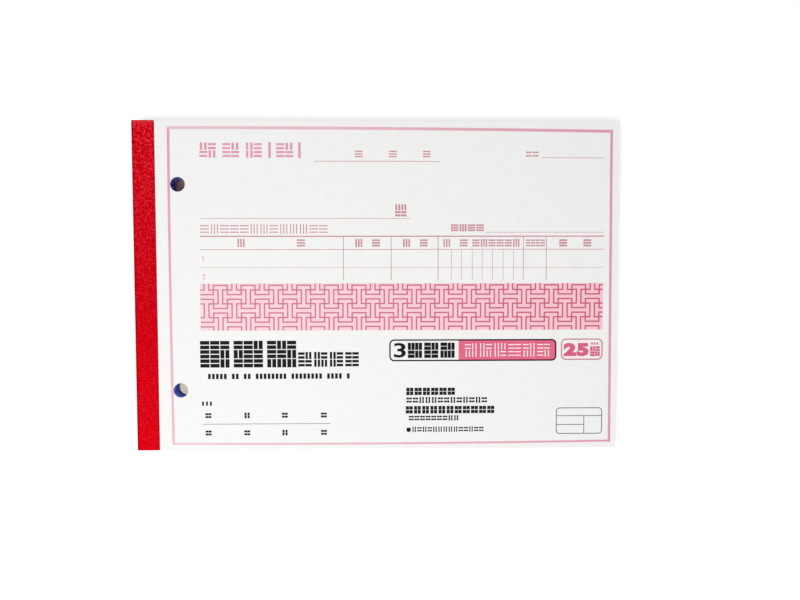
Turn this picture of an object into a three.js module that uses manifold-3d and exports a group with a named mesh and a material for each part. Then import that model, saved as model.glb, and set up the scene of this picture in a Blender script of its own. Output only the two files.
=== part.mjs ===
import * as THREE from 'three';
import { mergeVertices } from 'three/addons/utils/BufferGeometryUtils.js';
import Module from 'manifold-3d';

const wasm = await Module();
wasm.setup();

// Driving dimensions in millimetres. The closed book lies on its back with its spine at -X,
// its head at +Y and its front cover up.
const bookLength = 188.5;
const bookHeight = 128;
const setCount = 25;
const sheetsPerSet = 3;
const sheetPitch = 0.075;
const coverThickness = 0.25;
const shieldThickness = 0.35;
const boardThickness = 1;
const tapeThickness = 0.22;
const tapeFlap = 8.6;
const tapeCornerRadius = 0.45;

// Air between two pieces that lie on each other, and between the block and the tape's inside.
const layerGap = 0.006;
const spineGap = 0.03;

// The fold line runs just outside the tape, and half of the slit lies on either side of it.
const foldOutsideTape = 0.15;
const halfSlit = 0.05;

// Two filing holes go right through, a little below the middle of the book's height.
const holeDiameter = 6;
const holeSpacing = 80;
const holeFromSpine = 17.3;
const holesBelowMiddle = 0.4;
const holeSegments = 12;

// Two wire staples hold the block, and lie in the width of the tape.
const wireDiameter = 0.5;
const wireClearance = 0.1;
const wireSides = 8;
const wireSteps = 64;
const wireBend = 0.6;
const stapleCrown = 12;
const stapleClinch = 4.5;
const stapleFromSpine = 4.6;
const stapleSpacing = 62;

// Heights of the layers, from the table up.
const boardBottom = tapeThickness + layerGap;
const boardTop = boardBottom + boardThickness;
const shieldBottom = boardTop + layerGap;
const shieldTop = shieldBottom + shieldThickness;
const setPitch = sheetPitch * sheetsPerSet;
const slipsBottom = shieldTop + layerGap;
const slipsTop = slipsBottom + setPitch * setCount - layerGap;
const coverBottom = slipsTop + layerGap;
const coverTop = coverBottom + coverThickness;
const tapeInsideTop = coverTop + layerGap;
const bookThickness = tapeInsideTop + tapeThickness;

// Lines across the book.
const spineX = -bookLength / 2;
const foreX = bookLength / 2;
const blockX = spineX + tapeThickness + spineGap;
const foldX = spineX + tapeFlap + foldOutsideTape;
const stubX = foldX - halfSlit;
const leafX = foldX + halfSlit;
const holeX = spineX + holeFromSpine;
const stapleX = spineX + stapleFromSpine;
const headY = bookHeight / 2;

const redCloth = { color: 0xcf1028, roughness: 0.85, metalness: 0 };
const coverPaper = { color: 0xf3f3f1, roughness: 0.7, metalness: 0 };
const whiteSlip = { color: 0xf6f5f1, roughness: 0.75, metalness: 0 };
const pinkSlip = { color: 0xf3dfe2, roughness: 0.75, metalness: 0 };
const blueSlip = { color: 0xdfe7f0, roughness: 0.75, metalness: 0 };
const shieldCard = { color: 0xe4dccb, roughness: 0.8, metalness: 0 };
const greyBoard = { color: 0x9d968c, roughness: 0.9, metalness: 0 };
const steelWire = { color: 0xc3c6c9, roughness: 0.35, metalness: 1 };

const book = new THREE.Group();

function addPiece(name, geometry, look, z = 0) {
  const mesh = new THREE.Mesh(geometry, new THREE.MeshStandardMaterial(look));
  mesh.name = name;
  mesh.position.z = z;
  book.add(mesh);
}

// A flat sheet from one line across the book to another, as high as the book.
function sheetShape(fromX, toX) {
  const shape = new THREE.Shape();
  shape.moveTo(fromX, -headY);
  shape.lineTo(toX, -headY);
  shape.lineTo(toX, headY);
  shape.lineTo(fromX, headY);
  shape.closePath();
  return shape;
}

function drillFilingHoles(shape) {
  for (const side of [-1, 1]) {
    const hole = new THREE.Path();
    const y = side * holeSpacing / 2 - holesBelowMiddle;
    hole.absarc(holeX, y, holeDiameter / 2, 0, 2 * Math.PI, true);
    shape.holes.push(hole);
  }
}

function cutWindow(shape, x, y, width, height) {
  const cut = new THREE.Path();
  cut.moveTo(x - width / 2, y - height / 2);
  cut.lineTo(x - width / 2, y + height / 2);
  cut.lineTo(x + width / 2, y + height / 2);
  cut.lineTo(x + width / 2, y - height / 2);
  cut.closePath();
  shape.holes.push(cut);
}

function thicken(shape, depth) {
  return new THREE.ExtrudeGeometry(shape, { depth, bevelEnabled: false, curveSegments: holeSegments });
}

// The wire's passages: one square hole for each leg.
const wirePassage = wireDiameter + 2 * wireClearance;

function pierceForLegs(shape) {
  for (const side of [-1, 1]) {
    for (const leg of [-1, 1]) {
      const y = side * stapleSpacing / 2 + leg * stapleCrown / 2;
      cutWindow(shape, stapleX, y, wirePassage, wirePassage);
    }
  }
}

function solidOf(geometry) {
  const bare = geometry.index ? geometry.toNonIndexed() : geometry.clone();
  bare.deleteAttribute('normal');
  bare.deleteAttribute('uv');
  const merged = mergeVertices(bare, 1e-5);
  const { Manifold, Mesh } = wasm;
  return new Manifold(new Mesh({
    numProp: 3,
    vertProperties: new Float32Array(merged.attributes.position.array),
    triVerts: new Uint32Array(merged.index.array),
  }));
}

function geometryOf(solid) {
  const mesh = solid.getMesh();
  const geometry = new THREE.BufferGeometry();
  geometry.setAttribute('position', new THREE.BufferAttribute(mesh.vertProperties, 3));
  geometry.setIndex(new THREE.BufferAttribute(mesh.triVerts, 1));
  geometry.computeVertexNormals();
  return geometry;
}

// A groove for each staple's wire, as long as the crown and centred at the given height.
function cutWireGrooves(geometry, centreZ) {
  const depth = wireDiameter + 2 * wireClearance;
  let solid = solidOf(geometry);
  for (const side of [-1, 1]) {
    const groove = new THREE.BoxGeometry(wirePassage, stapleCrown + wirePassage, depth);
    groove.translate(stapleX, side * stapleSpacing / 2, centreZ);
    solid = solid.subtract(solidOf(groove));
  }
  return geometryOf(solid);
}

// The red cloth tape wraps the spine from the front cover round to the back board.
const tapeProfile = new THREE.Shape();
const outerTop = bookThickness;
const flapX = spineX + tapeFlap;
const tapeInX = spineX + tapeThickness;
const r = tapeCornerRadius;
tapeProfile.moveTo(flapX, 0);
tapeProfile.lineTo(flapX, tapeThickness);
tapeProfile.lineTo(tapeInX, tapeThickness);
tapeProfile.lineTo(tapeInX, tapeInsideTop);
tapeProfile.lineTo(flapX, tapeInsideTop);
tapeProfile.lineTo(flapX, outerTop);
tapeProfile.lineTo(spineX + r, outerTop);
tapeProfile.absarc(spineX + r, outerTop - r, r, Math.PI / 2, Math.PI, false);
tapeProfile.lineTo(spineX, r);
tapeProfile.absarc(spineX + r, r, r, Math.PI, 1.5 * Math.PI, false);
tapeProfile.closePath();
const tape = new THREE.ExtrudeGeometry(tapeProfile, { depth: bookHeight, bevelEnabled: false, curveSegments: 6 });
tape.rotateX(Math.PI / 2);
tape.translate(0, headY, 0);
addPiece('spine_tape', tape, redCloth);

// The grey board carries the whole book and is drilled like the slips.
const wireBottomZ = boardBottom + wireDiameter / 2 + layerGap;
const wireTopZ = coverTop - wireDiameter / 2 - layerGap;
const boardShape = sheetShape(blockX, foreX);
drillFilingHoles(boardShape);
pierceForLegs(boardShape);
const board = thicken(boardShape, boardThickness);
addPiece('back_board', cutWireGrooves(board, wireBottomZ - boardBottom), greyBoard, boardBottom);

// The writing shield is a loose-hanging card that goes behind the set being written on.
const shieldStub = sheetShape(blockX, stubX);
pierceForLegs(shieldStub);
addPiece('writing_shield_stub', thicken(shieldStub, shieldThickness), shieldCard, shieldBottom);
const shieldShape = sheetShape(leafX, foreX);
drillFilingHoles(shieldShape);
addPiece('writing_shield', thicken(shieldShape, shieldThickness), shieldCard, shieldBottom);

// The stubs of all the slips stay in the binding as one stapled block.
const slipStubs = sheetShape(blockX, stubX);
pierceForLegs(slipStubs);
const stubBlock = thicken(slipStubs, slipsTop - slipsBottom);
addPiece('slip_stubs', cutWireGrooves(stubBlock, wireTopZ - slipsBottom), whiteSlip, slipsBottom);

const coverStub = sheetShape(blockX, stubX);
for (const side of [-1, 1]) {
  cutWindow(coverStub, stapleX, side * stapleSpacing / 2, wirePassage, stapleCrown + wirePassage);
}
addPiece('front_cover_stub', thicken(coverStub, coverThickness), coverPaper, coverBottom);

// Slips outside the fold line: sets 25 to 2 hold three sheets each, and the first set is open to view.
const leafShape = sheetShape(leafX, foreX);
drillFilingHoles(leafShape);
for (let set = setCount; set > 1; set -= 1) {
  const name = `set_${String(set).padStart(2, '0')}`;
  const z = slipsBottom + setPitch * (setCount - set);
  addPiece(name, thicken(leafShape, setPitch - layerGap), whiteSlip, z);
}
const firstSet = [
  ['first_set_bottom_slip', blueSlip],
  ['first_set_middle_slip', pinkSlip],
  ['first_set_top_slip', whiteSlip],
];
firstSet.forEach(([name, look], place) => {
  const z = slipsBottom + setPitch * (setCount - 1) + sheetPitch * place;
  addPiece(name, thicken(leafShape, sheetPitch - layerGap), look, z);
});

addPiece('front_cover', thicken(leafShape, coverThickness), coverPaper, coverBottom);

// Each staple is one wire: crown on top, two legs down, and the ends clinched under the board.
function stapleGeometry(centreY) {
  const half = stapleCrown / 2;
  const end = half - stapleClinch;
  const corners = [
    [-end, wireBottomZ],
    [-half, wireBottomZ],
    [-half, wireTopZ],
    [half, wireTopZ],
    [half, wireBottomZ],
    [end, wireBottomZ],
  ].map(([y, z]) => new THREE.Vector3(stapleX, centreY + y, z));
  const path = new THREE.CurvePath();
  let from = corners[0];
  for (let i = 1; i < corners.length - 1; i += 1) {
    const corner = corners[i];
    const before = corner.clone().add(from.clone().sub(corner).setLength(wireBend));
    const after = corner.clone().add(corners[i + 1].clone().sub(corner).setLength(wireBend));
    path.add(new THREE.LineCurve3(from, before));
    path.add(new THREE.QuadraticBezierCurve3(before, corner, after));
    from = after;
  }
  path.add(new THREE.LineCurve3(from, corners[corners.length - 1]));
  const section = new THREE.Shape();
  section.absarc(0, 0, wireDiameter / 2, 0, 2 * Math.PI, false);
  return new THREE.ExtrudeGeometry(section, {
    steps: wireSteps,
    curveSegments: wireSides / 2,
    extrudePath: path,
    bevelEnabled: false,
  });
}

addPiece('head_staple', stapleGeometry(stapleSpacing / 2), steelWire);
addPiece('tail_staple', stapleGeometry(-stapleSpacing / 2), steelWire);

export default book;
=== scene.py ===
import math
import random

import bmesh
import bpy
from mathutils import Matrix, Vector


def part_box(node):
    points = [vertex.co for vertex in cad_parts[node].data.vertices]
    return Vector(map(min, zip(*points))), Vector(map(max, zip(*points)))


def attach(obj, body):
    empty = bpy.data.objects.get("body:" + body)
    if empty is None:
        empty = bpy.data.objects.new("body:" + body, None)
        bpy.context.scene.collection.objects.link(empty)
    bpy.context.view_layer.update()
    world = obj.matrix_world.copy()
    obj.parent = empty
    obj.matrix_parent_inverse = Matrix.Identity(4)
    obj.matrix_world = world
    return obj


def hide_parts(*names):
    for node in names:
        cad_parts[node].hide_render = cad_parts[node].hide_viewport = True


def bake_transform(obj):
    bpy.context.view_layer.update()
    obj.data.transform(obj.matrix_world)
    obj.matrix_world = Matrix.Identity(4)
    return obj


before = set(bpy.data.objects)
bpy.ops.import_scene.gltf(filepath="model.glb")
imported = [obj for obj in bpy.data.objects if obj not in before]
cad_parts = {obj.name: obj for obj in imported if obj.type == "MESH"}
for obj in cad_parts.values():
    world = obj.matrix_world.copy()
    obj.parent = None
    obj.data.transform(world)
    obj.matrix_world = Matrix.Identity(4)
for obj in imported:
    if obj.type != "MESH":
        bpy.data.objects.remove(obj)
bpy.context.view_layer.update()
scene = bpy.context.scene
scene.view_settings.view_transform = "Standard"

mm = 0.001  # meshes are worked out in millimetres and scaled once at the end


# the picture: a camera almost straight above the closed book

photoCamera = {
    "place": (5.04, 4.32, 237.15),
    "turn": (-0.04152, -0.0162, -0.00157),
    "lens": 26.47,
    "clipStart": 10.0,
}

cameraData = bpy.data.cameras.new("overheadCamera")
cameraData.lens = photoCamera["lens"]
cameraData.clip_start = photoCamera["clipStart"] * mm
camera = bpy.data.objects.new("overheadCamera", cameraData)
camera.location = Vector(photoCamera["place"]) * mm
camera.rotation_euler = photoCamera["turn"]
scene.collection.objects.link(camera)
scene.camera = camera
print("camera placed")


# materials: noise scales count per millimetre of the surface, relief is in metres

# an sRGB hex value as the linear colour that a shader socket takes
def colour(code):
    parts = [int(code[i:i + 2], 16) / 255 for i in (1, 3, 5)]
    return [p / 12.92 if p <= 0.04045 else ((p + 0.055) / 1.055) ** 2.4 for p in parts] + [1.0]


def addNode(tree, kind, settings=None, links=None):
    node = tree.nodes.new("ShaderNode" + kind)
    for key, value in (settings or {}).items():
        if isinstance(key, int) or key in node.inputs:
            node.inputs[key].default_value = value
        else:
            setattr(node, key, value)
    for key, source in (links or {}).items():
        tree.links.new(source, node.inputs[key])
    return node


finishes = {}


# a new finish: its tree, its shader with these values, and the place on the piece in millimetres
def newMaterial(name, finish):
    finishes[name] = bpy.data.materials.new(name)
    finishes[name].use_nodes = True
    tree = finishes[name].node_tree
    shader = tree.nodes["Principled BSDF"]
    for socket, value in finish.items():
        shader.inputs[socket].default_value = value
    place = addNode(tree, "TexCoord").outputs["Object"]
    scaled = addNode(tree, "Mapping", {"Scale": (1 / mm, 1 / mm, 1 / mm)}, {"Vector": place})
    return tree, shader, scaled.outputs["Vector"]


# gives the shader its colour and relief
def dress(tree, shader, tone, bump):
    tree.links.new(tone.outputs["Result"], shader.inputs["Base Color"])
    tree.links.new(bump.outputs["Normal"], shader.inputs["Normal"])


# settings of a Mix node from one colour to another
def twoTones(first, second):
    return {"data_type": "RGBA", "A": colour(first), "B": colour(second)}


paperGrain = {
    "clouds": {"Scale": 0.25, "Detail": 3.0},  # about 4 mm across
    "fibres": {"Detail": 4.0, "Roughness": 0.6},
    "cloudShare": 0.55,
    "fibreShare": 0.45,
    "contrast": {"From Min": 0.35, "From Max": 0.65},
    "relief": 0.00003,
    "shine": 0.4,
    "along": ("X", -70.0, 88.0),
}


# uncoated or lightly coated sheet, and ink on it: cloudy over a few millimetres, with finer fibres
def paperMaterial(name, finish):
    grain = paperGrain
    gloss = {"Roughness": finish["roughness"], "Specular IOR Level": finish.get("shine", grain["shine"])}
    tree, shader, place = newMaterial(name, gloss)
    cloud = addNode(tree, "TexNoise", grain["clouds"], {"Vector": place})
    fibre = addNode(tree, "TexNoise", {**grain["fibres"], "Scale": finish["fibreScale"]}, {"Vector": place})
    fine = addNode(tree, "Math", {"operation": "MULTIPLY", 1: grain["fibreShare"]}, {0: fibre.outputs["Fac"]})
    both = addNode(tree, "Math", {"operation": "MULTIPLY_ADD", 1: grain["cloudShare"]},
                   {0: cloud.outputs["Fac"], 2: fine.outputs[0]})
    mottled = addNode(tree, "MapRange", grain["contrast"], {"Value": both.outputs[0]})
    tone = addNode(tree, "Mix", twoTones(finish["dark"], finish["light"]),
                   {"Factor": mottled.outputs["Result"]})
    if "far" in finish:
        # inks deepen towards one side of the sheet, and the tail hole's walls are painted paler: painted
        # light, as if more light fell into that hole
        axis, near, far = finish.get("along", grain["along"])
        across = addNode(tree, "SeparateXYZ", {}, {"Vector": place})
        share = addNode(tree, "MapRange", {"From Min": near, "From Max": far},
                        {"Value": across.outputs[axis]})
        farTone = addNode(tree, "Mix", twoTones(*finish["far"]), {"Factor": both.outputs[0]})
        tone = addNode(tree, "Mix", {"data_type": "RGBA"},
                       {"Factor": share.outputs["Result"], "A": tone.outputs["Result"],
                        "B": farTone.outputs["Result"]})
    bump = addNode(tree, "Bump", {"Strength": finish["bump"], "Distance": grain["relief"]},
                   {"Height": fibre.outputs["Fac"]})
    dress(tree, shader, tone, bump)


slipStock = {"roughness": 0.7, "fibreScale": 6.0, "bump": 0.3}
cutEdge = {"roughness": 0.85, "fibreScale": 9.0, "bump": 0.5}
offsetInk = {"roughness": 0.5, "fibreScale": 6.0, "bump": 0.15, "shine": 0.15}

papers = {
    # smooth cover paper, a cold white with a slight sheen
    "coverStock": {"dark": "#F3F3F1", "light": "#F7F7F5", "roughness": 0.55, "fibreScale": 5.0, "bump": 0.25},
    # thin matt carbonless paper, tinted for each copy
    "whiteSlip": {"dark": "#EFEDE8", "light": "#F8F7F3", **slipStock},
    "pinkSlip": {"dark": "#F2D3DA", "light": "#F9DFE4", **slipStock},
    "blueSlip": {"dark": "#D5E2EE", "light": "#E1EBF4", **slipStock},
    # the same paper where the knife cut it: rougher and a little greyer
    "cutEdges": {"dark": "#E6E3DF", "light": "#F3F1ED", **cutEdge},
    "pinkEdges": {"dark": "#EBCDD4", "light": "#F4D8DE", **cutEdge},
    "blueEdges": {"dark": "#CCD8E5", "light": "#DAE3EE", **cutEdge},
    # paper dyed a deep blue on the walls of the holes; the paler far tones in the tail hole are painted light
    "dyedHoleWall": {"dark": "#1C2C9A", "light": "#3F5BC8", "far": ("#415DD4", "#84ADFF"),
                     "along": ("Y", 30.0, -30.0), "roughness": 0.8, "fibreScale": 3.0, "bump": 0.5,
                     "shine": 0.1},
    # stiff buff card with visible fibre
    "buffCard": {"dark": "#D9CFB9", "light": "#E8E0CE", "roughness": 0.75, "fibreScale": 3.0, "bump": 0.4},
    # thin offset inks, dull, with the paper's grain showing through
    "duskyInk": {"dark": "#CE7892", "light": "#DC87A1", "far": ("#C44E6D", "#D25D7B"), **offsetInk},
    "pinkInk": {"dark": "#DF97AD", "light": "#E8A8BB", **offsetInk},
    "labelInk": {"dark": "#C78696", "light": "#D596A5", **offsetInk},
    "frameInk": {"dark": "#EAC1CC", "light": "#F0CCD6", "far": ("#DF97AD", "#E8A8BB"), **offsetInk},
    "sideInk": {"dark": "#DF9CB0", "light": "#E8ABBC", "far": ("#EBB9C7", "#F1C6D1"),
                "along": ("Y", 55.0, -55.0), **offsetInk},
    "roseInk": {"dark": "#E66284", "light": "#EC708F", **offsetInk},
    "deepRose": {"dark": "#D55C7F", "light": "#DF6A8B", **offsetInk},
    "paleTint": {"dark": "#FAD5DF", "light": "#FEDEE6", "far": ("#F9C4CF", "#FDCDD6"), **offsetInk},
    "blackInk": {"dark": "#121012", "light": "#1C1A1C", **offsetInk, "shine": 0.06},
    "greyInk": {"dark": "#5E5C5C", "light": "#6E6C6C", **offsetInk},
    "blueInk": {"dark": "#5E86BE", "light": "#7396C8", **offsetInk},
}
for name, finish in papers.items():
    paperMaterial(name, finish)


chipboard = {
    "roughness": 0.9,
    # pulp in clouds of about 1.7 mm, and a small fleck to every 1.1 mm
    "pulp": ("#8C8479", "#ABA399"),
    "pulpClouds": {"Scale": 0.6, "Detail": 6.0, "Roughness": 0.65},
    "pulpContrast": {"From Min": 0.3, "From Max": 0.7},
    "flecks": ("#4F4A45", "#D8D2C6"),
    "fleckCells": {"Scale": 0.9, "Randomness": 1.0},
    "fleckReach": {"From Min": 0.04, "From Max": 0.16, "To Min": 0.55, "To Max": 0.0},
    "relief": {"Strength": 0.5, "Distance": 0.00006},
}


# recycled grey board: brown-grey pulp with dark and pale flecks
def chipboardMaterial():
    board = chipboard
    tree, shader, place = newMaterial("recycledChipboard", {"Roughness": board["roughness"]})
    pulp = addNode(tree, "TexNoise", board["pulpClouds"], {"Vector": place})
    flecks = addNode(tree, "TexVoronoi", board["fleckCells"], {"Vector": place})
    mottled = addNode(tree, "MapRange", board["pulpContrast"], {"Value": pulp.outputs["Fac"]})
    ground = addNode(tree, "Mix", twoTones(*board["pulp"]), {"Factor": mottled.outputs["Result"]})
    fleckMask = addNode(tree, "MapRange", board["fleckReach"], {"Value": flecks.outputs["Distance"]})
    fleckTone = addNode(tree, "Mix", twoTones(*board["flecks"]), {"Factor": flecks.outputs["Color"]})
    blended = addNode(tree, "Mix", {"data_type": "RGBA"},
                      {"Factor": fleckMask.outputs["Result"], "A": ground.outputs["Result"],
                       "B": fleckTone.outputs["Result"]})
    bump = addNode(tree, "Bump", board["relief"], {"Height": pulp.outputs["Fac"]})
    dress(tree, shader, blended, bump)


stapleWire = {"tones": ("#B4B7BA", "#D2D4D6"), "roughness": 0.3, "clouds": {"Scale": 2.5, "Detail": 2.0}}


# drawn tinned steel wire: bright, and faintly cloudy at less than half a millimetre
def wireMaterial():
    bright = {"Roughness": stapleWire["roughness"], "Metallic": 1.0}
    tree, shader, place = newMaterial("tinnedWire", bright)
    cloud = addNode(tree, "TexNoise", stapleWire["clouds"], {"Vector": place})
    tone = addNode(tree, "Mix", twoTones(*stapleWire["tones"]), {"Factor": cloud.outputs["Fac"]})
    tree.links.new(tone.outputs["Result"], shader.inputs["Base Color"])


clothWeave = {
    "stripWidth": 24.76,
    "stripLength": 128.0,
    "roughness": 0.5,
    # thread spacing: the weft is drawn coarser than in real cloth, so that it shows
    "warpPitch": 0.46,
    "weftPitch": 0.82,
    # threads wander by up to a tenth of a millimetre, over some 3 mm
    "wander": (0.1, 0.1, 0.0),
    "wobble": {"Scale": 0.3, "Detail": 2.0},
    "roundness": 0.22,
    "relief": {"Strength": 0.9, "Distance": 0.00008},
    "reliefChance": 0.35,
    "warp": "#F20019",
    "weft": "#E8000E",
    # painted shade for the dips between threads
    "gap": "#A00008",
    # how full a crossing's red is at the least, from the tail up to this share of the length, and at the
    # most; the lower least towards the head is painted shade
    "leastTone": {"To Min": 0.86, "To Max": 0.6},
    "leastToneBy": 0.7,
    "mostTone": 1.5,
    "ribTone": (0.07, 0.94),
    # painted glints: how many to a crossing each way, how rare and how strong they are, in patches of
    # about a millimetre; their share at the tail holds up to this share of the length
    "fleck": "#FF3E50",
    "fleckCells": (1.5, 2.0, 1.0),
    "paintedGlintChance": {"From Min": 0.58, "From Max": 1.0, "To Max": 1.8},
    "patches": {"Scale": 0.9, "Detail": 3.0},
    "paintedGlintAtTail": 0.26,
    "tailUpTo": 0.4,
    # painted highlight along the head's cut edge, from 1.6 to 0.2 mm away
    "rim": (1.6, 0.2),
    "rimShare": 0.5,
    # painted shade: the cloth is painted darker from the tail up to its middle, and evenly so over its head
    # half
    "paintedHeadShade": "#8C000A",
    "paintedHeadShadeShare": 0.24,
    "paintedHeadShadeBy": 0.5,
    # painted shade along the cut edge beside the cover and along the turn over the spine
    "edge": "#6E0012",
    "cutEdge": (0.45, 0.05),
    "cutShade": 0.42,
    "turnFromCut": 8.25,
    "turnWidth": 0.3,
    "turnShade": 0.45,
}


# the threads: colour of each crossing before the painted shade and glints, its height, and a chance value for
# each point
def wovenThreads(tree, unwrapped, spot):
    weave = clothWeave
    # threads wander a little, and cross where both waves are at their height
    wobble = addNode(tree, "TexNoise", weave["wobble"], {"Vector": unwrapped})
    shifted = addNode(tree, "VectorMath", {"operation": "MULTIPLY_ADD", 1: weave["wander"]},
                      {0: wobble.outputs["Color"], 2: unwrapped})
    pitches = (1 / weave["warpPitch"], 1 / weave["weftPitch"], 1.0)
    cells = addNode(tree, "VectorMath", {"operation": "MULTIPLY", 1: pitches}, {0: shifted.outputs[0]})
    parts = addNode(tree, "SeparateXYZ", {}, {"Vector": cells.outputs[0]})
    waves = []
    for axis in ("X", "Y"):
        turned = addNode(tree, "Math", {"operation": "MULTIPLY", 1: math.pi}, {0: parts.outputs[axis]})
        waves.append(addNode(tree, "Math", {"operation": "SINE"}, {0: turned.outputs[0]}).outputs[0])
    crossing = addNode(tree, "Math", {"operation": "MULTIPLY"}, {0: waves[0], 1: waves[1]})
    hump = addNode(tree, "Math", {"operation": "ABSOLUTE"}, {0: crossing.outputs[0]})
    rounded = addNode(tree, "Math", {"operation": "POWER", 1: weave["roundness"]}, {0: hump.outputs[0]})
    warpOver = addNode(tree, "Math", {"operation": "GREATER_THAN", 1: 0.0}, {0: crossing.outputs[0]})
    threads = addNode(tree, "Mix", twoTones(weave["weft"], weave["warp"]), {"Factor": warpOver.outputs[0]})
    # by chance a crossing is higher, and each point on it gets a chance value for its tone and its painted
    # glint
    whole = addNode(tree, "VectorMath", {"operation": "FLOOR"}, {0: cells.outputs[0]})
    odd = addNode(tree, "TexWhiteNoise", {"noise_dimensions": "3D"}, {"Vector": whole.outputs[0]})
    raised = addNode(tree, "Math", {"operation": "MULTIPLY_ADD", 1: weave["reliefChance"]},
                     {0: odd.outputs["Value"], 2: rounded.outputs[0]})
    points = addNode(tree, "VectorMath", {"operation": "MULTIPLY", 1: weave["fleckCells"]},
                     {0: cells.outputs[0]})
    points = addNode(tree, "VectorMath", {"operation": "FLOOR"}, {0: points.outputs[0]})
    point = addNode(tree, "TexWhiteNoise", {"noise_dimensions": "2D"}, {"Vector": points.outputs[0]})
    # painted shade: the gaps between threads are painted dark by each crossing's height; crossings differ by
    # chance, their lowest tone falling towards the head as painted shade, and every second warp thread is a
    # little deeper
    reach = weave["stripLength"] * weave["leastToneBy"]
    least = addNode(tree, "MapRange", {"From Max": reach, **weave["leastTone"]}, {"Value": spot.outputs["Y"]})
    depth = addNode(tree, "MapRange", {"To Max": weave["mostTone"]},
                    {"Value": point.outputs["Value"], "To Min": least.outputs["Result"]})
    depth = addNode(tree, "Math", {"operation": "MULTIPLY", "use_clamp": True},
                    {0: rounded.outputs[0], 1: depth.outputs["Result"]})
    swing, level = weave["ribTone"]
    ribbed = addNode(tree, "Math", {"operation": "MULTIPLY_ADD", 1: swing, 2: level}, {0: waves[0]})
    depth = addNode(tree, "Math", {"operation": "MULTIPLY"}, {0: depth.outputs[0], 1: ribbed.outputs[0]})
    woven = addNode(tree, "Mix", {"data_type": "RGBA", "A": colour(weave["gap"])},
                    {"Factor": depth.outputs[0], "B": threads.outputs["Result"]})
    return woven, raised.outputs[0], point.outputs["Value"]


# painted light, as pairs of a colour and its share: painted shade towards the head, painted glints in points,
# and painted shade along the edges
def clothPaintedLight(tree, unwrapped, spot, point):
    weave = clothWeave
    width, length = weave["stripWidth"], weave["stripLength"]
    across, along = spot.outputs["X"], spot.outputs["Y"]
    # painted shade: darker from the tail up to the middle, then evenly so over the head half
    headShading = addNode(tree, "MapRange", {"From Max": length * weave["paintedHeadShadeBy"], "To Max": weave["paintedHeadShadeShare"]},
                   {"Value": along})
    # painted glints in points, more of them near the head, and a painted highlight along the head's own cut
    # edge
    patch = addNode(tree, "TexNoise", weave["patches"], {"Vector": unwrapped})
    headward = addNode(tree, "MapRange",
                       {"From Min": length * weave["tailUpTo"], "From Max": length,
                        "To Min": weave["paintedGlintAtTail"], "To Max": 1.0}, {"Value": along})
    start, end = weave["rim"]
    rim = addNode(tree, "MapRange",
                  {"From Min": length - start, "From Max": length - end, "To Max": weave["rimShare"]},
                  {"Value": along})
    paintedGlints = addNode(tree, "MapRange", weave["paintedGlintChance"], {"Value": point})
    paintedGlints = addNode(tree, "Math", {"operation": "MULTIPLY"},
                     {0: paintedGlints.outputs["Result"], 1: headward.outputs["Result"]})
    paintedGlints = addNode(tree, "Math", {"operation": "MULTIPLY_ADD", "use_clamp": True},
                     {0: paintedGlints.outputs[0], 1: patch.outputs["Fac"], 2: rim.outputs["Result"]})
    # painted shade along the cut edge beside the cover and along the turn over the spine
    start, end = weave["cutEdge"]
    cut = addNode(tree, "MapRange",
                  {"From Min": width - start, "From Max": width - end, "To Max": weave["cutShade"]},
                  {"Value": across})
    turnPlace = width - weave["turnFromCut"]
    turn = addNode(tree, "Math", {"operation": "COMPARE", 1: turnPlace, 2: weave["turnWidth"]}, {0: across})
    turn = addNode(tree, "Math", {"operation": "MULTIPLY", 1: weave["turnShade"]}, {0: turn.outputs[0]})
    shade = addNode(tree, "Math", {"operation": "MAXIMUM"}, {0: cut.outputs["Result"], 1: turn.outputs[0]})
    return ("paintedHeadShade", headShading.outputs["Result"]), ("fleck", paintedGlints.outputs[0]), ("edge", shade.outputs[0])


# coated plain-woven book cloth: each crossing is a small rounded bump, warp and weft differ in tone and
# every crossing a little from the next; painted shade darkens its gaps, its head half and its edges, and
# painted glints fleck it, most towards the head
def clothMaterial():
    weave = clothWeave
    matt = {"Roughness": weave["roughness"], "Specular IOR Level": 0.0}
    tree, shader, _ = newMaterial("redBookCloth", matt)
    unwrapped = addNode(tree, "UVMap", {"uv_map": "clothMap"}).outputs["UV"]
    spot = addNode(tree, "SeparateXYZ", {}, {"Vector": unwrapped})
    woven, raised, point = wovenThreads(tree, unwrapped, spot)
    for tone, share in clothPaintedLight(tree, unwrapped, spot, point):
        woven = addNode(tree, "Mix", {"data_type": "RGBA", "B": colour(weave[tone])},
                        {"Factor": share, "A": woven.outputs["Result"]})
    dress(tree, shader, woven, addNode(tree, "Bump", weave["relief"], {"Height": raised}))


chipboardMaterial()
wireMaterial()
clothMaterial()
print("materials made:", len(finishes))


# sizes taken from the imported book, in millimetres

def nodeBox(node):
    low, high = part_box(node)
    return low / mm, high / mm


tapeLow, tapeHigh = nodeBox("spine_tape")
coverLow, coverHigh = nodeBox("front_cover")
stubLow, stubHigh = nodeBox("slip_stubs")
foldX = (stubHigh.x + coverLow.x) / 2
leafX = stubHigh.x + 0.01  # leaves start a hairline beyond their stubs
spineX = tapeLow.x
foreX = coverHigh.x
headY = coverHigh.y
chance = random.Random(25)


def finishPiece(name, bm, materials, standsFor=()):
    mesh = bpy.data.meshes.new(name)
    bmesh.ops.scale(bm, vec=(mm, mm, mm), verts=bm.verts)
    bm.to_mesh(mesh)
    bm.free()
    for material in materials:
        mesh.materials.append(finishes[material])
    piece = bpy.data.objects.new(name, mesh)
    scene.collection.objects.link(piece)
    if standsFor:
        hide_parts(*standsFor)
    return piece


# adds the other bmesh to bm, with its material slots moved on
def merge(bm, other, materialShift=0):
    for face in other.faces:
        face.material_index += materialShift
    spare = bpy.data.meshes.new("spare")
    other.to_mesh(spare)
    other.free()
    bm.from_mesh(spare)
    bpy.data.meshes.remove(spare)


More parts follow.
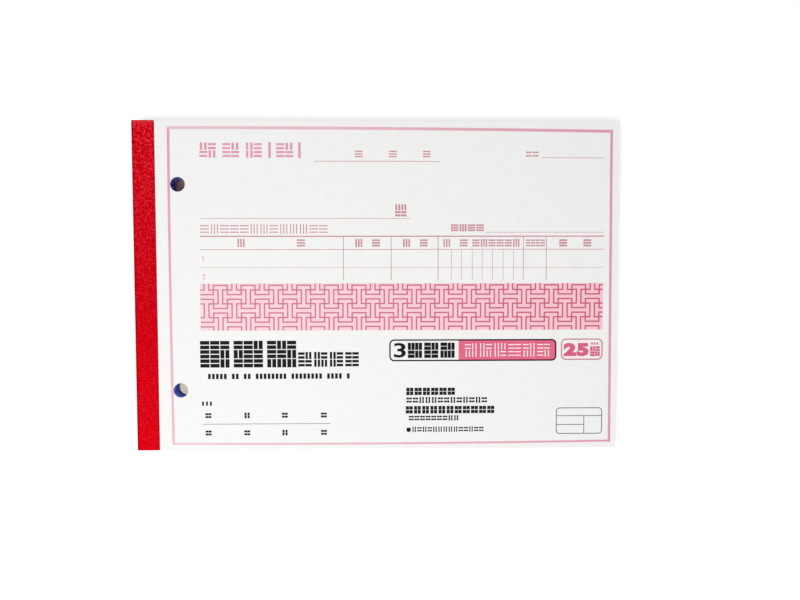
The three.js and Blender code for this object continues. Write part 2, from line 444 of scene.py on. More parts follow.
# gives a flat bmesh its thickness, upwards
def thicken(bm, depth):
    raised = bmesh.ops.extrude_face_region(bm, geom=bm.faces[:])["geom"]
    bmesh.ops.translate(bm, vec=(0, 0, depth), verts=[g for g in raised if isinstance(g, bmesh.types.BMVert)])
    bmesh.ops.recalc_face_normals(bm, faces=bm.faces[:])


# drilled sheets: every leaf of the book is cut and drilled alike

drilling = {"fromSpine": 17.3, "spacing": 80.0, "belowMiddle": 0.4, "radius": 2.83, "segments": 40,
            "wallReach": 0.2}
fold = {"width": 4.4, "cuts": 9, "firstCut": 0.1}
holeX = spineX + drilling["fromSpine"]
holeYs = [side * drilling["spacing"] / 2 - drilling["belowMiddle"] for side in (1, -1)]


# a flat sheet with two filing holes: slot 0 is paper, 1 the cut edges, 2 the hole walls
def drilledSheet(left, right, low, thickness, trim=0.0):
    bm = bmesh.new()
    half = headY - trim
    outline = ((left, -half, low), (right, -half, low), (right, half, low), (left, half, low))
    corners = [bm.verts.new(p) for p in outline]
    for a, b in zip(corners, corners[1:] + corners[:1]):
        bm.edges.new((a, b))
    for y in holeYs:
        bmesh.ops.create_circle(bm, cap_ends=False, radius=drilling["radius"], segments=drilling["segments"],
                                matrix=Matrix.Translation((holeX, y, low)))
    bmesh.ops.triangle_fill(bm, use_beauty=True, use_dissolve=False, edges=bm.edges[:])
    for i in range(fold["cuts"] + 1):
        x = foldX + fold["firstCut"] + fold["width"] * i / fold["cuts"]
        bmesh.ops.bisect_plane(bm, geom=bm.verts[:] + bm.edges[:] + bm.faces[:], dist=1e-5,
                               plane_co=(x, 0, 0), plane_no=(1, 0, 0))
    thicken(bm, thickness)
    for face in bm.faces:
        if abs(face.normal.z) < 0.5:
            middle = face.calc_center_median()
            away = min(math.hypot(middle.x - holeX, middle.y - y) for y in holeYs)
            face.material_index = 2 if away < drilling["radius"] + drilling["wallReach"] else 1
    return bm


# print: thin closed shells of ink that lie on the paper

inkDepth = 0.008  # on the slips; the cover's print is thicker and sets its own
strokes = {"levelShare": 0.55, "pairFrom": 2.0, "ends": (0.04, 0.96)}
wordLetters = {"first": (3, 7), "others": (2, 8)}
numeral = {"letterSpacing": 1.16, "curveSteps": 6}


def addBox(bm, middle, size, slot, turn=0.0):
    place = Matrix.Translation(middle) @ Matrix.Rotation(turn, 4, "Z") @ Matrix.Diagonal((*size, 1))
    made = bmesh.ops.create_cube(bm, size=1, matrix=place)
    for face in {f for v in made["verts"] for f in v.link_faces}:
        face.material_index = slot


def addBar(bm, left, top, right, bottom, low, depth, slot):
    middle = ((left + right) / 2, (top + bottom) / 2, low + depth / 2)
    addBox(bm, middle, (abs(right - left), abs(top - bottom), depth), slot)


def inkBar(bm, left, top, right, bottom, low, slot, share=1.0):
    addBar(bm, left, top, right, bottom, low, inkDepth * share, slot)


# a straight stroke from one point to the other
def inkLine(bm, x0, y0, x1, y1, width, low, slot, share=1.0):
    depth = inkDepth * share
    middle = ((x0 + x1) / 2, (y0 + y1) / 2, low + depth / 2)
    addBox(bm, middle, (math.hypot(x1 - x0, y1 - y0), width, depth), slot, math.atan2(y1 - y0, x1 - x0))


# writing is left as blocks of short strokes, level or upright by chance, about as dense as the print;
# cells under 2 mm have one stroke, alike in the whole block, and others a pair
def dummyWriting(bm, area, count, cells, weight, low, slot, gap=0.1):
    left, top, right, bottom = area
    pitch = (right - left) / (count - gap)
    wide, high = pitch * (1 - gap) / cells, (top - bottom) / cells
    start, end = strokes["ends"]
    small = high < strokes["pairFrom"]
    shares = (0.5,) if small else (0.25, 0.75)
    half = weight / 2 / len(shares)
    chances = random.Random(round(left * 7 + top * 13))
    for i in range(count):
        alike = chances.random() < strokes["levelShare"]
        for column in range(cells):
            for row in range(cells):
                x = left + i * pitch + column * wide
                y = bottom + row * high
                level = alike if small else chances.random() < strokes["levelShare"]
                for share in shares:
                    over, under = share + half, share - half
                    x0, y0, x1, y1 = (start, over, end, under) if level else (under, end, over, start)
                    inkBar(bm, x + wide * x0, y + high * y0, x + wide * x1, y + high * y1, low, slot)


# a line of Latin writing is left as short bars with gaps between words
def dummyWords(bm, area, letters, low, slot, width=0.66):
    left, top, right, bottom = area
    pitch = (right - left) / (letters - 1 + width)
    chances = random.Random(letters)
    untilGap = chances.randint(*wordLetters["first"])
    for i in range(letters):
        if untilGap == 0 and i < letters - 1:
            untilGap = chances.randint(*wordLetters["others"])
            continue
        untilGap -= 1
        inkBar(bm, left + i * pitch, top, left + (i + width) * pitch, bottom, low, slot)


# a rounded outline, with its inside filled where a slot is given
def roundedPanel(bm, left, top, right, bottom, radius, line, low, lineSlot, fillSlot=None, share=1.0):
    panel = bmesh.new()
    middle = Matrix.Translation(((left + right) / 2, (top + bottom) / 2, low))
    size = Matrix.Diagonal(((right - left) / 2, (top - bottom) / 2, 1, 1))
    bmesh.ops.create_grid(panel, x_segments=1, y_segments=1, size=1, matrix=middle @ size)
    bmesh.ops.bevel(panel, geom=panel.verts[:], affect="VERTICES", offset=radius, segments=6, profile=0.5,
                    material=-1)
    outer = panel.faces[:]
    bmesh.ops.inset_region(panel, faces=outer, thickness=line, use_boundary=True, use_even_offset=True)
    inside = [f for f in panel.faces if f in outer]
    for face in panel.faces:
        face.material_index = lineSlot
    if fillSlot is None:
        bmesh.ops.delete(panel, geom=inside, context="FACES_ONLY")
    else:
        for face in inside:
            face.material_index = fillSlot
    thicken(panel, inkDepth * share)
    merge(bm, panel)


# a plain number, stretched to fill its box
def plainNumber(bm, text, left, top, right, bottom, low, slot, weight):
    curve = bpy.data.curves.new("number", "FONT")
    curve.body = text
    curve.offset = weight
    curve.space_character = numeral["letterSpacing"]
    curve.resolution_u = numeral["curveSteps"]
    curve.extrude = 0.5  # any depth, because the stretch sets the real one
    holder = bpy.data.objects.new("number", curve)
    scene.collection.objects.link(holder)
    bpy.context.view_layer.update()
    shape = bpy.data.meshes.new_from_object(holder)
    bpy.data.objects.remove(holder)
    number = bmesh.new()
    number.from_mesh(shape)
    bpy.data.meshes.remove(shape)
    bmesh.ops.remove_doubles(number, verts=number.verts[:], dist=1e-5)
    bmesh.ops.recalc_face_normals(number, faces=number.faces[:])
    box = ((left, right), (bottom, top), (low, low + inkDepth))
    for i, (start, end) in enumerate(box):
        lowest = min(v.co[i] for v in number.verts)
        highest = max(v.co[i] for v in number.verts)
        for vert in number.verts:
            vert.co[i] = start + (vert.co[i] - lowest) / (highest - lowest) * (end - start)
    for face in number.faces:
        face.material_index = slot
    merge(bm, number)


# the ruled slip form, printed on the slips

slipForm = {
    "title": ((-68.6, 55.0, -36.0, 49.5), 4, 2, 0.55),
    "totals": ((28.5, 24.0, 41.5, 21.4), 4, 1, 0.5),
    # name, date, number and totals: from, height, to
    "rules": ((-68.8, 40.0, 12.5), (-24.6, 48.4, 24.2), (63.8, 49.9, 88.3), (42.5, 20.9, 88.6)),
    "left": -68.9, "right": 88.6, "top": 19.4, "head": 14.4, "row": 7.1, "rows": 9,
    "columns": (-13.3, 5.2, 23.6, 57.0, 66.0),
    "money": (28.75, 32.7, 36.9, 40.8, 44.9, 49.0, 53.1),
    "heavyLine": 0.5, "line": 0.25, "rowLine": 0.16, "moneyLine": 0.12,
}


def printSlipForm(bm, low, slot):
    form = slipForm
    left, right, top, head = form["left"], form["right"], form["top"], form["head"]
    bottom = head - form["row"] * form["rows"]
    dummyWriting(bm, *form["title"], low, slot)
    dummyWriting(bm, *form["totals"], low, slot)
    for x0, y, x1 in form["rules"]:
        inkLine(bm, x0, y, x1, y, form["line"], low, slot)
    for y, line in ((top, "heavyLine"), (head, "line"), (bottom, "heavyLine")):
        inkLine(bm, left, y, right, y, form[line], low, slot)
    for row in range(1, form["rows"]):
        y = head - form["row"] * row
        inkLine(bm, left, y, right, y, form["rowLine"], low, slot)
    for x in (left, right) + form["columns"]:
        inkLine(bm, x, top, x, bottom, form["line"], low, slot, 0.95)
    for x in form["money"]:
        inkLine(bm, x, head, x, bottom, form["moneyLine"], low, slot, 0.9)


# the leaves: each one's placement is baked into its mesh

def hangLeaf(piece):
    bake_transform(piece)


slips = {
    "sets": 25,
    "pitch": 0.075,
    "thickness": 0.068,
    "air": 0.002,
    # sheets are trimmed a little unevenly
    "trimHead": 0.05,
    "trimFore": 0.08,
    "sunkInk": 0.003,
}
slipEdges = {"whiteSlip": "cutEdges", "pinkSlip": "pinkEdges", "blueSlip": "blueEdges"}
# top, middle and bottom sheet of a set: paper, ink and a slot name
slipKinds = (
    ("whiteSlip", "pinkInk", "white_slip"),
    ("pinkSlip", "roseInk", "pink_slip"),
    ("blueSlip", "blueInk", "blue_slip"),
)
firstSet = (
    ("firstSetTopSlip", "first_set_top_slip"),
    ("firstSetMiddleSlip", "first_set_middle_slip"),
    ("firstSetBottomSlip", "first_set_bottom_slip"),
)


# one leaf or one set: sheets lists (paper, height above the node's underside, ink or None)
def makeLeaf(name, node, sheets):
    low, high = nodeBox(node)
    bm = bmesh.new()
    materials = []
    for paper, rise, ink in sheets:
        trim = chance.uniform(0.0, slips["trimHead"])
        fore = foreX - chance.uniform(0.0, slips["trimFore"])
        merge(bm, drilledSheet(leafX, fore, low.z + rise, slips["thickness"], trim), len(materials))
        materials += [paper, slipEdges[paper], "dyedHoleWall"]
        if ink:
            form = bmesh.new()
            printSlipForm(form, low.z + rise + slips["thickness"] - slips["sunkInk"], 0)
            merge(bm, form, len(materials))
            materials.append(ink)
    piece = finishPiece(name, bm, materials, [node])
    hangLeaf(piece)


for (name, node), (paper, ink, slot) in zip(firstSet, slipKinds):
    makeLeaf(name, node, [(paper, slips["air"], ink)])
for number in range(2, slips["sets"] + 1):
    sheets = []
    for place, (paper, ink, slot) in enumerate(reversed(slipKinds)):
        # only the top sheet's form is printed, because the others stay covered
        sheets.append((paper, slips["air"] + slips["pitch"] * place, ink if paper == "whiteSlip" else None))
    makeLeaf("set%02d" % number, "set_%02d" % number, sheets)
print("slips made")


# stubs of all the slips, stapled as one block: white, pink and blue in turn

block = bmesh.new()
for i in range(slips["sets"] * 3):
    inset = chance.uniform(0.0, slips["trimHead"])
    low = stubLow.z + slips["air"] + slips["pitch"] * i
    addBar(block, stubLow.x, headY - inset, stubHigh.x, inset - headY, low, slips["thickness"], 2 - i % 3)
stubEdges = ["cutEdges", "pinkEdges", "blueEdges"]
stubBlock = finishPiece("slipStubBlock", block, stubEdges, ["slip_stubs"])
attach(stubBlock, "binding")
print("stubs made")


# writing shield: a plain buff card, trimmed a tenth of a millimetre short

shieldTrim = 0.1
shieldLow, shieldHigh = nodeBox("writing_shield")
shield = drilledSheet(leafX, foreX - shieldTrim, shieldLow.z, shieldHigh.z - shieldLow.z)
shield = finishPiece("writingShield", shield, ["buffCard"] * 3, ["writing_shield"])
hangLeaf(shield)


# front cover, with its print in the photographed places

cover = drilledSheet(leafX, foreX, coverLow.z, coverHigh.z - coverLow.z)
coverPapers = ["coverStock", "cutEdges", "dyedHoleWall"]
cover = finishPiece("frontCover", cover, coverPapers, ["front_cover"])
hangLeaf(cover)

inkDepth = 0.02
sunkInk = 0.005
inkLow = coverHigh.z - sunkInk
pink, rose, pale, black, grey, white, dusk, label, edge, deep, side = range(11)
coverInks = ["pinkInk", "roseInk", "paleTint", "blackInk", "greyInk", "coverStock", "duskyInk", "labelInk",
             "frameInk", "deepRose", "sideInk"]

# boxes are (left, top, right, bottom) and rules (from, height, to, width)
coverForm = {
    # each block of writing: its box, blocks across, cells each way and stroke weight
    "title": ((-68.7, 55.6, -44.4, 49.6), 3, 2, 0.58),
    "titleGap": 0.25,
    "titleEnd": ((-39.2, 55.6, -32.4, 49.6), 1, 2, 0.58),
    "brackets": ((-42.1, 55.6, -41.1, 49.6), (-30.6, 55.6, -29.6, 49.6)),
    "writing": [
        ((57.7, 52.6, 62.6, 49.9), 2, 2, 0.42), ((-8.7, 52.7, -5.7, 49.7), 1, 3, 0.52),
        ((4.45, 52.7, 7.45, 49.7), 1, 3, 0.52), ((17.6, 52.7, 20.6, 49.7), 1, 3, 0.52),
        ((6.7, 31.95, 11.35, 26.9), 1, 2, 0.62), ((-68.7, 24.2, -19.4, 20.4), 13, 3, 0.34),
        ((28.5, 24.2, 41.4, 21.3), 4, 3, 0.72), ((-54.6, 18.5, -51.4, 15.3), 1, 3, 0.62),
        ((-31.4, 18.5, -28.2, 15.3), 1, 3, 0.62), ((-8.9, 18.4, -5.8, 15.3), 1, 3, 0.68),
        ((-2.2, 18.4, 0.9, 15.3), 1, 3, 0.68), ((9.7, 18.4, 12.8, 15.3), 1, 3, 0.68),
        ((16.4, 18.4, 19.5, 15.3), 1, 3, 0.68), ((25.4, 18.4, 28.5, 15.3), 1, 3, 0.6),
        ((32.0, 18.4, 35.1, 15.3), 1, 3, 0.6), ((36.9, 18.4, 55.6, 15.3), 6, 3, 0.6),
        ((57.9, 18.4, 65.4, 15.3), 4, 3, 0.55), ((71.0, 18.4, 74.1, 15.3), 1, 3, 0.7),
        ((80.5, 18.4, 83.6, 15.3), 1, 3, 0.7),
    ],
    "rules": (
        (-24.58, 48.4, 24.18, 0.22), (63.8, 49.87, 88.28, 0.2), (-68.83, 26.35, 12.5, 0.18),
        (42.2, 21.0, 88.6, 0.18),
    ),
    # the table: heights with line widths, and the columns' places
    "tableSides": (-68.9, 88.65),
    "tableLines": ((19.45, 0.44), (14.35, 0.22), (7.3, 0.13)),
    "tableFoot": 2.3,
    "columns": (-13.34, 5.23, 23.58, 56.97, 65.99),
    "columnLine": 0.26,
    "money": (28.75, 32.67, 36.94, 40.83, 44.87, 49.04, 53.13),
    "moneyLine": 0.17,
    "rowNumbers": (("1", -67.95, 11.9, -67.6, 9.9), ("2", -68.2, 4.8, -66.9, 2.8)),
}


def printCoverForm(bm):
    form = coverForm
    dummyWriting(bm, *form["title"], inkLow, pink, form["titleGap"])
    dummyWriting(bm, *form["titleEnd"], inkLow, pink)
    for bracket in form["brackets"]:
        inkBar(bm, *bracket, inkLow, pink)
    for block in form["writing"]:
        dummyWriting(bm, *block, inkLow, label)
    for x0, y, x1, width in form["rules"]:
        inkLine(bm, x0, y, x1, y, width, inkLow, label)
    left, right = form["tableSides"]
    for y, width in form["tableLines"]:
        inkLine(bm, left, y, right, y, width, inkLow, label)
    top, head = form["tableLines"][0][0], form["tableLines"][1][0]
    for x in form["columns"]:
        inkLine(bm, x, top, x, form["tableFoot"], form["columnLine"], inkLow, label, 0.95)
    for x in form["money"]:
        inkLine(bm, x, head, x, form["tableFoot"], form["moneyLine"], inkLow, label, 0.9)
    for text, *box in form["rowNumbers"]:
        plainNumber(bm, text, *box, inkLow, pink, 0.0)


# the black print below the band, in the same terms
coverHeadings = {
    "writing": [
        ((-69.6, -21.1, -31.85, -31.9), 3, 3, 0.8), ((-31.4, -25.6, -7.44, -31.7), 4, 2, 0.66),
        ((11.0, -39.98, 30.3, -43.04), 6, 2, 0.88), ((11.07, -43.7, 43.0, -46.2), 13, 2, 0.58),
        ((10.8, -47.25, 45.9, -50.4), 11, 2, 0.84), ((12.01, -51.0, 31.8, -53.2), 9, 2, 0.6),
        ((13.3, -55.5, 41.7, -57.7), 14, 2, 0.52),
    ],
    "words": ((-66.5, -34.2, -11.2, -36.3), 36),
    "smallWords": ((-69.0, -45.1, -65.2, -46.8), 3),
    "smallWordWidth": 0.47,
    "dateMarks": [(x, y) for x in (-66.6, -51.5, -36.7, -21.4) for y in (-50.7, -57.6)],
    "dateMark": (1.2, 1.15, 0.68),
    "dateRule": (-68.9, -54.1, -18.7, 0.2),
    "dot": (12.0, -56.75, 0.92),
}

# panels add corner radius and line width to their box
badge = {
    "outline": (4.41, -20.9, 70.32, -29.55, 1.9, 0.56),
    "rosePanel": (4.9, -21.4, 69.8, -29.05, 1.4, 0.2),
    "whiteHalf": (4.86, -21.27, 31.68, -29.18),
    "whiteWriting": ((34.0, -22.4, 67.8, -28.0), 6, 2, 0.3),
    "whiteRise": 0.004,
    "number": (6.2, -22.3, 10.9, -28.1),
    "numberWeight": 0.02,
    "writing": ((11.6, -22.1, 30.2, -28.35), 3, 2, 0.88),
}
countBox = {
    "outline": (72.07, -20.76, 88.66, -29.28, 1.98, 0.54),
    "number": (73.1, -22.5, 83.1, -27.8),
    "numberWeight": 0.075,
    "writing": ((83.6, -23.8, 87.6, -27.86), 1, 2, 0.86),
    "words": ((84.1, -22.3, 86.9, -23.25), 3),
    "wordWidth": 0.6,
}
referenceBox = {
    "outline": (70.37, -48.2, 88.75, -58.75, 1.5, 0.32),
    "lineWidth": 0.28,
    # from, to and share of the ink's depth
    "lines": (
        (70.5, -51.5, 88.6, -51.5, 1.0), (81.5, -51.5, 81.5, -58.6, 0.9), (70.5, -55.0, 81.5, -55.0, 0.95),
    ),
}


def printHeadings(bm):
    heads = coverHeadings
    for block in heads["writing"]:
        dummyWriting(bm, *block, inkLow, black)
    dummyWords(bm, *heads["words"], inkLow, black)
    dummyWords(bm, *heads["smallWords"], inkLow, black, heads["smallWordWidth"])
    # badge in two halves: a number and writing on white, and writing in white on rose
    roundedPanel(bm, *badge["outline"], inkLow, black)
    roundedPanel(bm, *badge["rosePanel"], inkLow, rose, rose, 0.7)
    inkBar(bm, *badge["whiteHalf"], inkLow, white, 0.85)
    dummyWriting(bm, *badge["whiteWriting"], inkLow + badge["whiteRise"], white)
    plainNumber(bm, "3", *badge["number"], inkLow, black, badge["numberWeight"])
    dummyWriting(bm, *badge["writing"], inkLow, black)
    # count box: the number of sets
    roundedPanel(bm, *countBox["outline"], inkLow, label)
    plainNumber(bm, "25", *countBox["number"], inkLow, deep, countBox["numberWeight"])
    dummyWriting(bm, *countBox["writing"], inkLow, deep)
    dummyWords(bm, *countBox["words"], inkLow, deep, countBox["wordWidth"])
    across, up, weight = heads["dateMark"]
    for x, y in heads["dateMarks"]:
        dummyWriting(bm, (x - across, y + up, x + across, y - up), 1, 2, weight, inkLow, black)
    x, y, radius = heads["dot"]
    dot = bmesh.new()
    bmesh.ops.create_cone(dot, cap_ends=True, segments=20, radius1=radius, radius2=radius, depth=inkDepth,
                          matrix=Matrix.Translation((x, y, inkLow + inkDepth / 2)))
    for face in dot.faces:
        face.material_index = black
    merge(bm, dot)
    x0, y, x1, width = heads["dateRule"]
    inkLine(bm, x0, y, x1, y, width, inkLow, grey)
    # ruled reference box, left empty
    roundedPanel(bm, *referenceBox["outline"], inkLow, grey)
    for *ends, share in referenceBox["lines"]:
        inkLine(bm, *ends, referenceBox["lineWidth"], inkLow, grey, share)


# tinted band of interlocking I shapes, a traditional pattern: I and turned I take turns on a square lattice

iBand = {
    "left": -68.9,
    "right": 88.45,
    "top": 1.3,
    "bottom": -17.05,
    "module": 1.795,
    "line": 0.54,
    "centreX": -66.49,
    "centreY": -9.27,
}


# the lattice place of the I that a cell belongs to
def iOwner(column, row):
    for a in range(column // 3 - 1, column // 3 + 3):
        for b in range(row // 3 - 1, row // 3 + 3):
            dx, dy = column - 3 * a, row - 3 * b
            if (a + b) % 2:
                dx, dy = dy, dx
            if (abs(dy) == 2 and abs(dx) <= 1) or (dx == 0 and abs(dy) <= 1):
                return a, b


# edges of the line cells and the open cells, as (place, cell number or None on a line)
def bandCuts(low, high, centre):
    module, line = iBand["module"], iBand["line"]
    first = math.floor((low - centre) / module - 1)
    places = []
    for i in range(first, first + int((high - low) / module) + 4):
        start = centre + (i - 0.5) * module
        places += [(start - line / 2, None), (start + line / 2, i)]
    inside = [(p, k) for p, k in places if low < p < high]
    before = [k for p, k in places if p <= low][-1]
    return [(low, before)] + inside


# the cell, or the pair of cells that a line lies between
def cellsAt(places, i):
    key = places[i][1]
    if key is not None:
        return (key,)
    before = [k for _, k in places[:i] if k is not None]
    after = [k for _, k in places[i:] if k is not None]
    low = before[-1] if before else after[0] - 1
    return (low, low + 1)


def printIBand(bm):
    across = bandCuts(iBand["left"], iBand["right"], iBand["centreX"])
    up = bandCuts(iBand["bottom"], iBand["top"], iBand["centreY"])
    bmesh.ops.create_grid(bm, x_segments=len(across), y_segments=len(up), size=1)
    xs = [p for p, _ in across] + [iBand["right"]]
    ys = [p for p, _ in up] + [iBand["top"]]
    for vert in bm.verts:
        column = round((vert.co.x + 1) / 2 * len(across))
        row = round((vert.co.y + 1) / 2 * len(up))
        vert.co = (xs[column], ys[row], inkLow)
    for face in bm.faces:
        middle = face.calc_center_median()
        column = max(i for i, x in enumerate(xs) if x < middle.x)
        row = max(i for i, y in enumerate(ys) if y < middle.y)
        owners = {iOwner(c, r) for c in cellsAt(across, column) for r in cellsAt(up, row)}
        face.material_index = dusk if len(owners) > 1 else pale
    thicken(bm, inkDepth)


# the printed frame: head, fore edge, tail and spine side
coverFrame = {
    "corners": ((-80.18, 61.19), (91.11, 60.18), (91.63, -61.25), (-80.13, -61.45)),
    "widths": (1.12, 1.0, 0.78, 1.0),
    "inks": (edge, pink, edge, side),
    # the sheet is not quite flat, so each side bows outwards a little
    "bows": (0.35, 0.0, 0.49, 0.25),
    "steps": 20,
}


def printFrame(bm):
    corners = [Vector(corner) for corner in coverFrame["corners"]]
    for k, (a, b) in enumerate(zip(corners, corners[1:] + corners[:1])):
        width, bow = coverFrame["widths"][k], coverFrame["bows"][k]
        over = (b - a).normalized() * width / 2
        outward = Vector((-over.y, over.x)).normalized()
        line = bmesh.new()
        bmesh.ops.create_grid(line, x_segments=coverFrame["steps"], y_segments=1, size=1)
        for vert in line.verts:
            part = (vert.co.x + 1) / 2
            spot = a - over + (b - a + 2 * over) * part
            spot += outward * (bow * 4 * part * (1 - part) + vert.co.y * width / 2)
            vert.co = (spot.x, spot.y, inkLow)
        # every second side is a little lower, so that no two tops lie in one plane where they cross
        thicken(line, inkDepth * (1.0 - 0.05 * (k % 2)))
        for face in line.faces:
            face.material_index = coverFrame["inks"][k]
        merge(bm, line)


# the form's plate sits a fifth of a millimetre off
plate = {"stretch": (0.9989, 0.9982, 1), "shift": (0.10, 0.18, 0)}


def register(bm):
    bmesh.ops.scale(bm, vec=plate["stretch"], verts=bm.verts)
    bmesh.ops.translate(bm, vec=plate["shift"], verts=bm.verts)


formPrint = bmesh.new()
printCoverForm(formPrint)
register(formPrint)
printFrame(formPrint)
headingPrint = bmesh.new()
printHeadings(headingPrint)
register(headingPrint)
bandPrint = bmesh.new()
printIBand(bandPrint)
prints = {"coverFormPrint": formPrint, "coverHeadingPrint": headingPrint, "coverPatternBand": bandPrint}
for name, bm in prints.items():
    piece = finishPiece(name, bm, coverInks)
    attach(piece, "front_cover")
print("cover and print made")


# spine tape: one strip of book cloth folded round the block

tapeShape = {
    "fromFold": 0.02,
    "cornerRadius": 0.45,
    "cornerSteps": 7,
    "flapSteps": 6,
    "rows": 160,
    "thickness": 0.2,
    # the edge that lies on the cover is pressed thin
    "pressedWidth": 0.28,
    "pressedDepth": 0.11,
    "overCover": 0.006,
}


def makeTape():
    shape = tapeShape
    radius, steps = shape["cornerRadius"], shape["cornerSteps"]
    flapX = foldX - shape["fromFold"]
    turnX = spineX + radius
    top = tapeHigh.z
    flap = [turnX + (flapX - turnX) * i / shape["flapSteps"] for i in range(1, shape["flapSteps"])]
    path = [(flapX, 0.0)] + [(x, 0.0) for x in reversed(flap)]
    for start, middleZ in ((270, radius), (180, top - radius)):
        for i in range(steps + 1):
            angle = math.radians(start - 90 * i / steps)
            path.append((turnX + radius * math.cos(angle), middleZ + radius * math.sin(angle)))
    path += [(x, top) for x in flap]
    path += [(flapX - shape["pressedWidth"], top), (flapX, top - shape["pressedDepth"])]
    lengths = [0.0]
    for a, b in zip(path, path[1:]):
        lengths.append(lengths[-1] + math.dist(a, b))
    print("tape strip", round(lengths[-1], 2), "wide before folding")
    bm = bmesh.new()
    bmesh.ops.create_grid(bm, x_segments=len(path) - 1, y_segments=shape["rows"], size=1)
    layer = bm.loops.layers.uv.new("clothMap")
    spots = {}
    for vert in bm.verts:
        column = round((vert.co.x + 1) / 2 * (len(path) - 1))
        y = vert.co.y * headY
        spots[vert] = (lengths[column], y + headY)
        vert.co = (path[column][0], y, path[column][1])
    for face in bm.faces:
        for loop in face.loops:
            loop[layer].uv = spots[loop.vert]
    bmesh.ops.recalc_face_normals(bm, faces=bm.faces[:])
    bmesh.ops.solidify(bm, geom=bm.faces[:], thickness=shape["thickness"])
    for vert in bm.verts:
        if vert.co.z > top / 2 and vert.co.x > flapX - shape["pressedWidth"] * 1.1:
            vert.co.z = max(vert.co.z, coverHigh.z + shape["overCover"])
    bmesh.ops.recalc_face_normals(bm, faces=bm.faces[:])
    for face in bm.faces:
        face.smooth = True
    return bm


tape = finishPiece("spineTape", makeTape(), ["redBookCloth"], ["spine_tape"])
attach(tape, "binding")
print("spine tape made")


# pieces whose solids are right get their own finish

ownFinishes = {
    "back_board": "recycledChipboard",
    "writing_shield_stub": "buffCard",
    "front_cover_stub": "coverStock",
    "head_staple": "tinnedWire",
    "tail_staple": "tinnedWire",
}

for name, material in ownFinishes.items():
    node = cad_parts[name]
    for slot in node.material_slots:
        slot.material = finishes[material]
    if not node.material_slots:
        node.data.materials.append(finishes[material])
print("carried-over pieces dressed")


# floor and light

studio = {
    "tableHalf": 2,
    "tableWhite": "#F8F8F8",
    # painted shade: the table's colour under the book
    "tableShade": "#8E7470",
    "white": "#FFFFFF",
    # the book's outline, inside which the table is painted its shade colour
    "bookHalf": (0.0925, 0.0625),
    # glow of the table: beside the book, where it whitens the backdrop, and under its two holes, where it is
    # painted light that brightens the tail hole and leaves the head hole dim
    "tableLift": 0.25,
    "headHoleLift": 0.058,
    "tailHoleLift": 0.53,
    "headHoleTint": "#FFC4C8",
    "tailHoleTint": "#FFF3E7",
    # between the holes the glow changes from here to there
    "holeChange": {"From Min": 0.02, "From Max": -0.02},
    # grain of two thirds of a millimetre, and how much it dims and lifts the glow in the holes
    "grain": {"Scale": 1500.0, "Detail": 1.0},
    "mottle": {"From Min": 0.25, "From Max": 0.75, "To Min": 0.8, "To Max": 1.2},
    # from here to there the table turns to the white of the backdrop
    "backdrop": (0.28, 0.7),
    "world": 0.62,
    "key": 1.4,
    "keyPlace": (-0.15, -0.2, 0.55),
    "keySize": 0.3,
    "glint": 0.1,
    "glintPlace": (-0.27, 0.13, 0.75),
    "glintSize": 0.06,
}

floorMesh = bpy.data.meshes.new("paleTable")
bm = bmesh.new()
bmesh.ops.create_grid(bm, x_segments=1, y_segments=1, size=studio["tableHalf"])
bm.to_mesh(floorMesh)
bm.free()
floor = bpy.data.objects.new("paleTable", floorMesh)
scene.collection.objects.link(floor)


# 1 where the camera sees a surface by itself, in a gloss or through something clear
def seenByCamera(tree):
    path = addNode(tree, "LightPath")
    seen = path.outputs["Is Camera Ray"]
    for ray in ("Is Glossy Ray", "Is Transmission Ray"):
        seen = addNode(tree, "Math", {"operation": "MAXIMUM"}, {0: seen, 1: path.outputs[ray]}).outputs[0]
    return seen


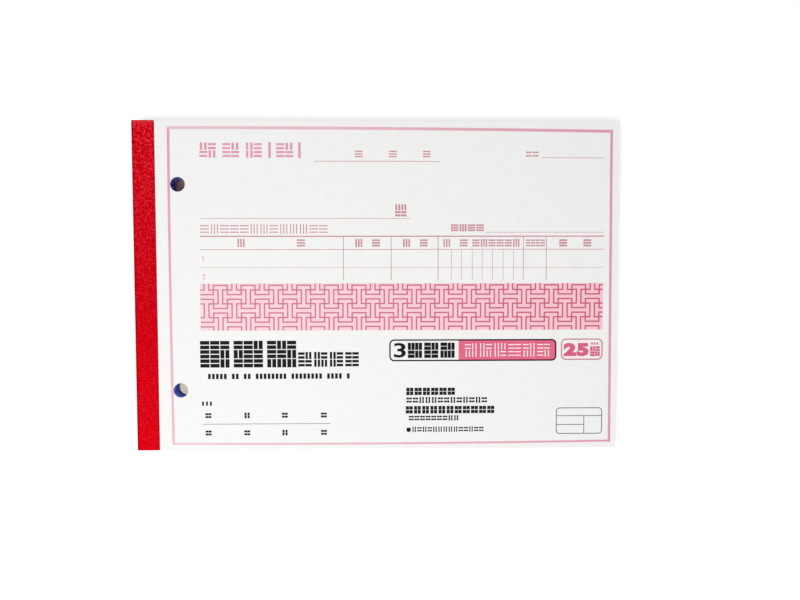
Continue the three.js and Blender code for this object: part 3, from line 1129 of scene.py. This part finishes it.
# a matt pale table, lifted to white around the book; under the book it is painted a shade colour, and where
# the holes show it a painted glow lights it, bright in the tail hole and dim in the head hole
def tableMaterial():
    material = bpy.data.materials.new("paleTable")
    material.use_nodes = True
    tree = material.node_tree
    tree.nodes.remove(tree.nodes["Principled BSDF"])
    spot = addNode(tree, "TexCoord").outputs["Object"]
    place = addNode(tree, "SeparateXYZ", {}, {"Vector": spot})
    beside = []
    for axis, half in zip("XY", studio["bookHalf"]):
        away = addNode(tree, "Math", {"operation": "ABSOLUTE"}, {0: place.outputs[axis]})
        beside.append(addNode(tree, "Math", {"operation": "GREATER_THAN", 1: half}, {0: away.outputs[0]}))
    around = addNode(tree, "Math", {"operation": "MAXIMUM"},
                     {0: beside[0].outputs[0], 1: beside[1].outputs[0]})
    tailward = addNode(tree, "MapRange", studio["holeChange"], {"Value": place.outputs["Y"]})
    grain = addNode(tree, "TexNoise", studio["grain"], {"Vector": spot})
    mottle = addNode(tree, "MapRange", studio["mottle"], {"Value": grain.outputs["Fac"]})
    under = addNode(tree, "MapRange", {"To Min": studio["headHoleLift"], "To Max": studio["tailHoleLift"]},
                    {"Value": tailward.outputs["Result"]})
    under = addNode(tree, "Math", {"operation": "MULTIPLY"},
                    {0: under.outputs["Result"], 1: mottle.outputs["Result"]})
    reach = addNode(tree, "VectorMath", {"operation": "LENGTH"}, {0: spot})
    near, far = studio["backdrop"]
    beyond = addNode(tree, "MapRange",
                     {"From Min": near, "From Max": far, "To Min": studio["tableLift"], "To Max": 1.0},
                     {"Value": reach.outputs["Value"]})
    lift = addNode(tree, "Mix", {"data_type": "FLOAT"},
                   {"Factor": around.outputs[0], "A": under.outputs[0], "B": beyond.outputs["Result"]})
    lift = addNode(tree, "Math", {"operation": "MULTIPLY"},
                   {0: lift.outputs["Result"], 1: seenByCamera(tree)})
    ground = addNode(tree, "Mix", twoTones(studio["tableShade"], studio["tableWhite"]),
                     {"Factor": around.outputs[0]})
    matt = addNode(tree, "BsdfDiffuse", {}, {"Color": ground.outputs["Result"]})
    holeTint = addNode(tree, "Mix", twoTones(studio["headHoleTint"], studio["tailHoleTint"]),
                       {"Factor": tailward.outputs["Result"]})
    warmth = addNode(tree, "Mix", {"data_type": "RGBA", "B": colour(studio["white"])},
                     {"Factor": around.outputs[0], "A": holeTint.outputs["Result"]})
    glow = addNode(tree, "Emission", {}, {"Color": warmth.outputs["Result"], "Strength": lift.outputs[0]})
    both = addNode(tree, "AddShader", {}, {0: matt.outputs[0], 1: glow.outputs[0]})
    tree.links.new(both.outputs[0], tree.nodes["Material Output"].inputs["Surface"])
    return material


floorMesh.materials.append(tableMaterial())

world = bpy.data.worlds.new("studioWorld")
scene.world = world
world.use_nodes = True
background = world.node_tree.nodes["Background"]
background.inputs["Color"].default_value = colour(studio["white"])
strength = addNode(world.node_tree, "MapRange", {"To Min": studio["world"], "To Max": 1.0},
                   {"Value": seenByCamera(world.node_tree)})
world.node_tree.links.new(strength.outputs["Result"], background.inputs["Strength"])

for lamp in ("key", "glint"):
    data = bpy.data.lights.new(lamp + "Lamp", "AREA")
    data.energy = studio[lamp]
    data.size = studio[lamp + "Size"]
    light = bpy.data.objects.new(lamp + "Lamp", data)
    light.location = studio[lamp + "Place"]
    light.rotation_euler = (Vector((0, 0, 0)) - light.location).to_track_quat("-Z", "Y").to_euler()
    scene.collection.objects.link(light)
print("stage lit")
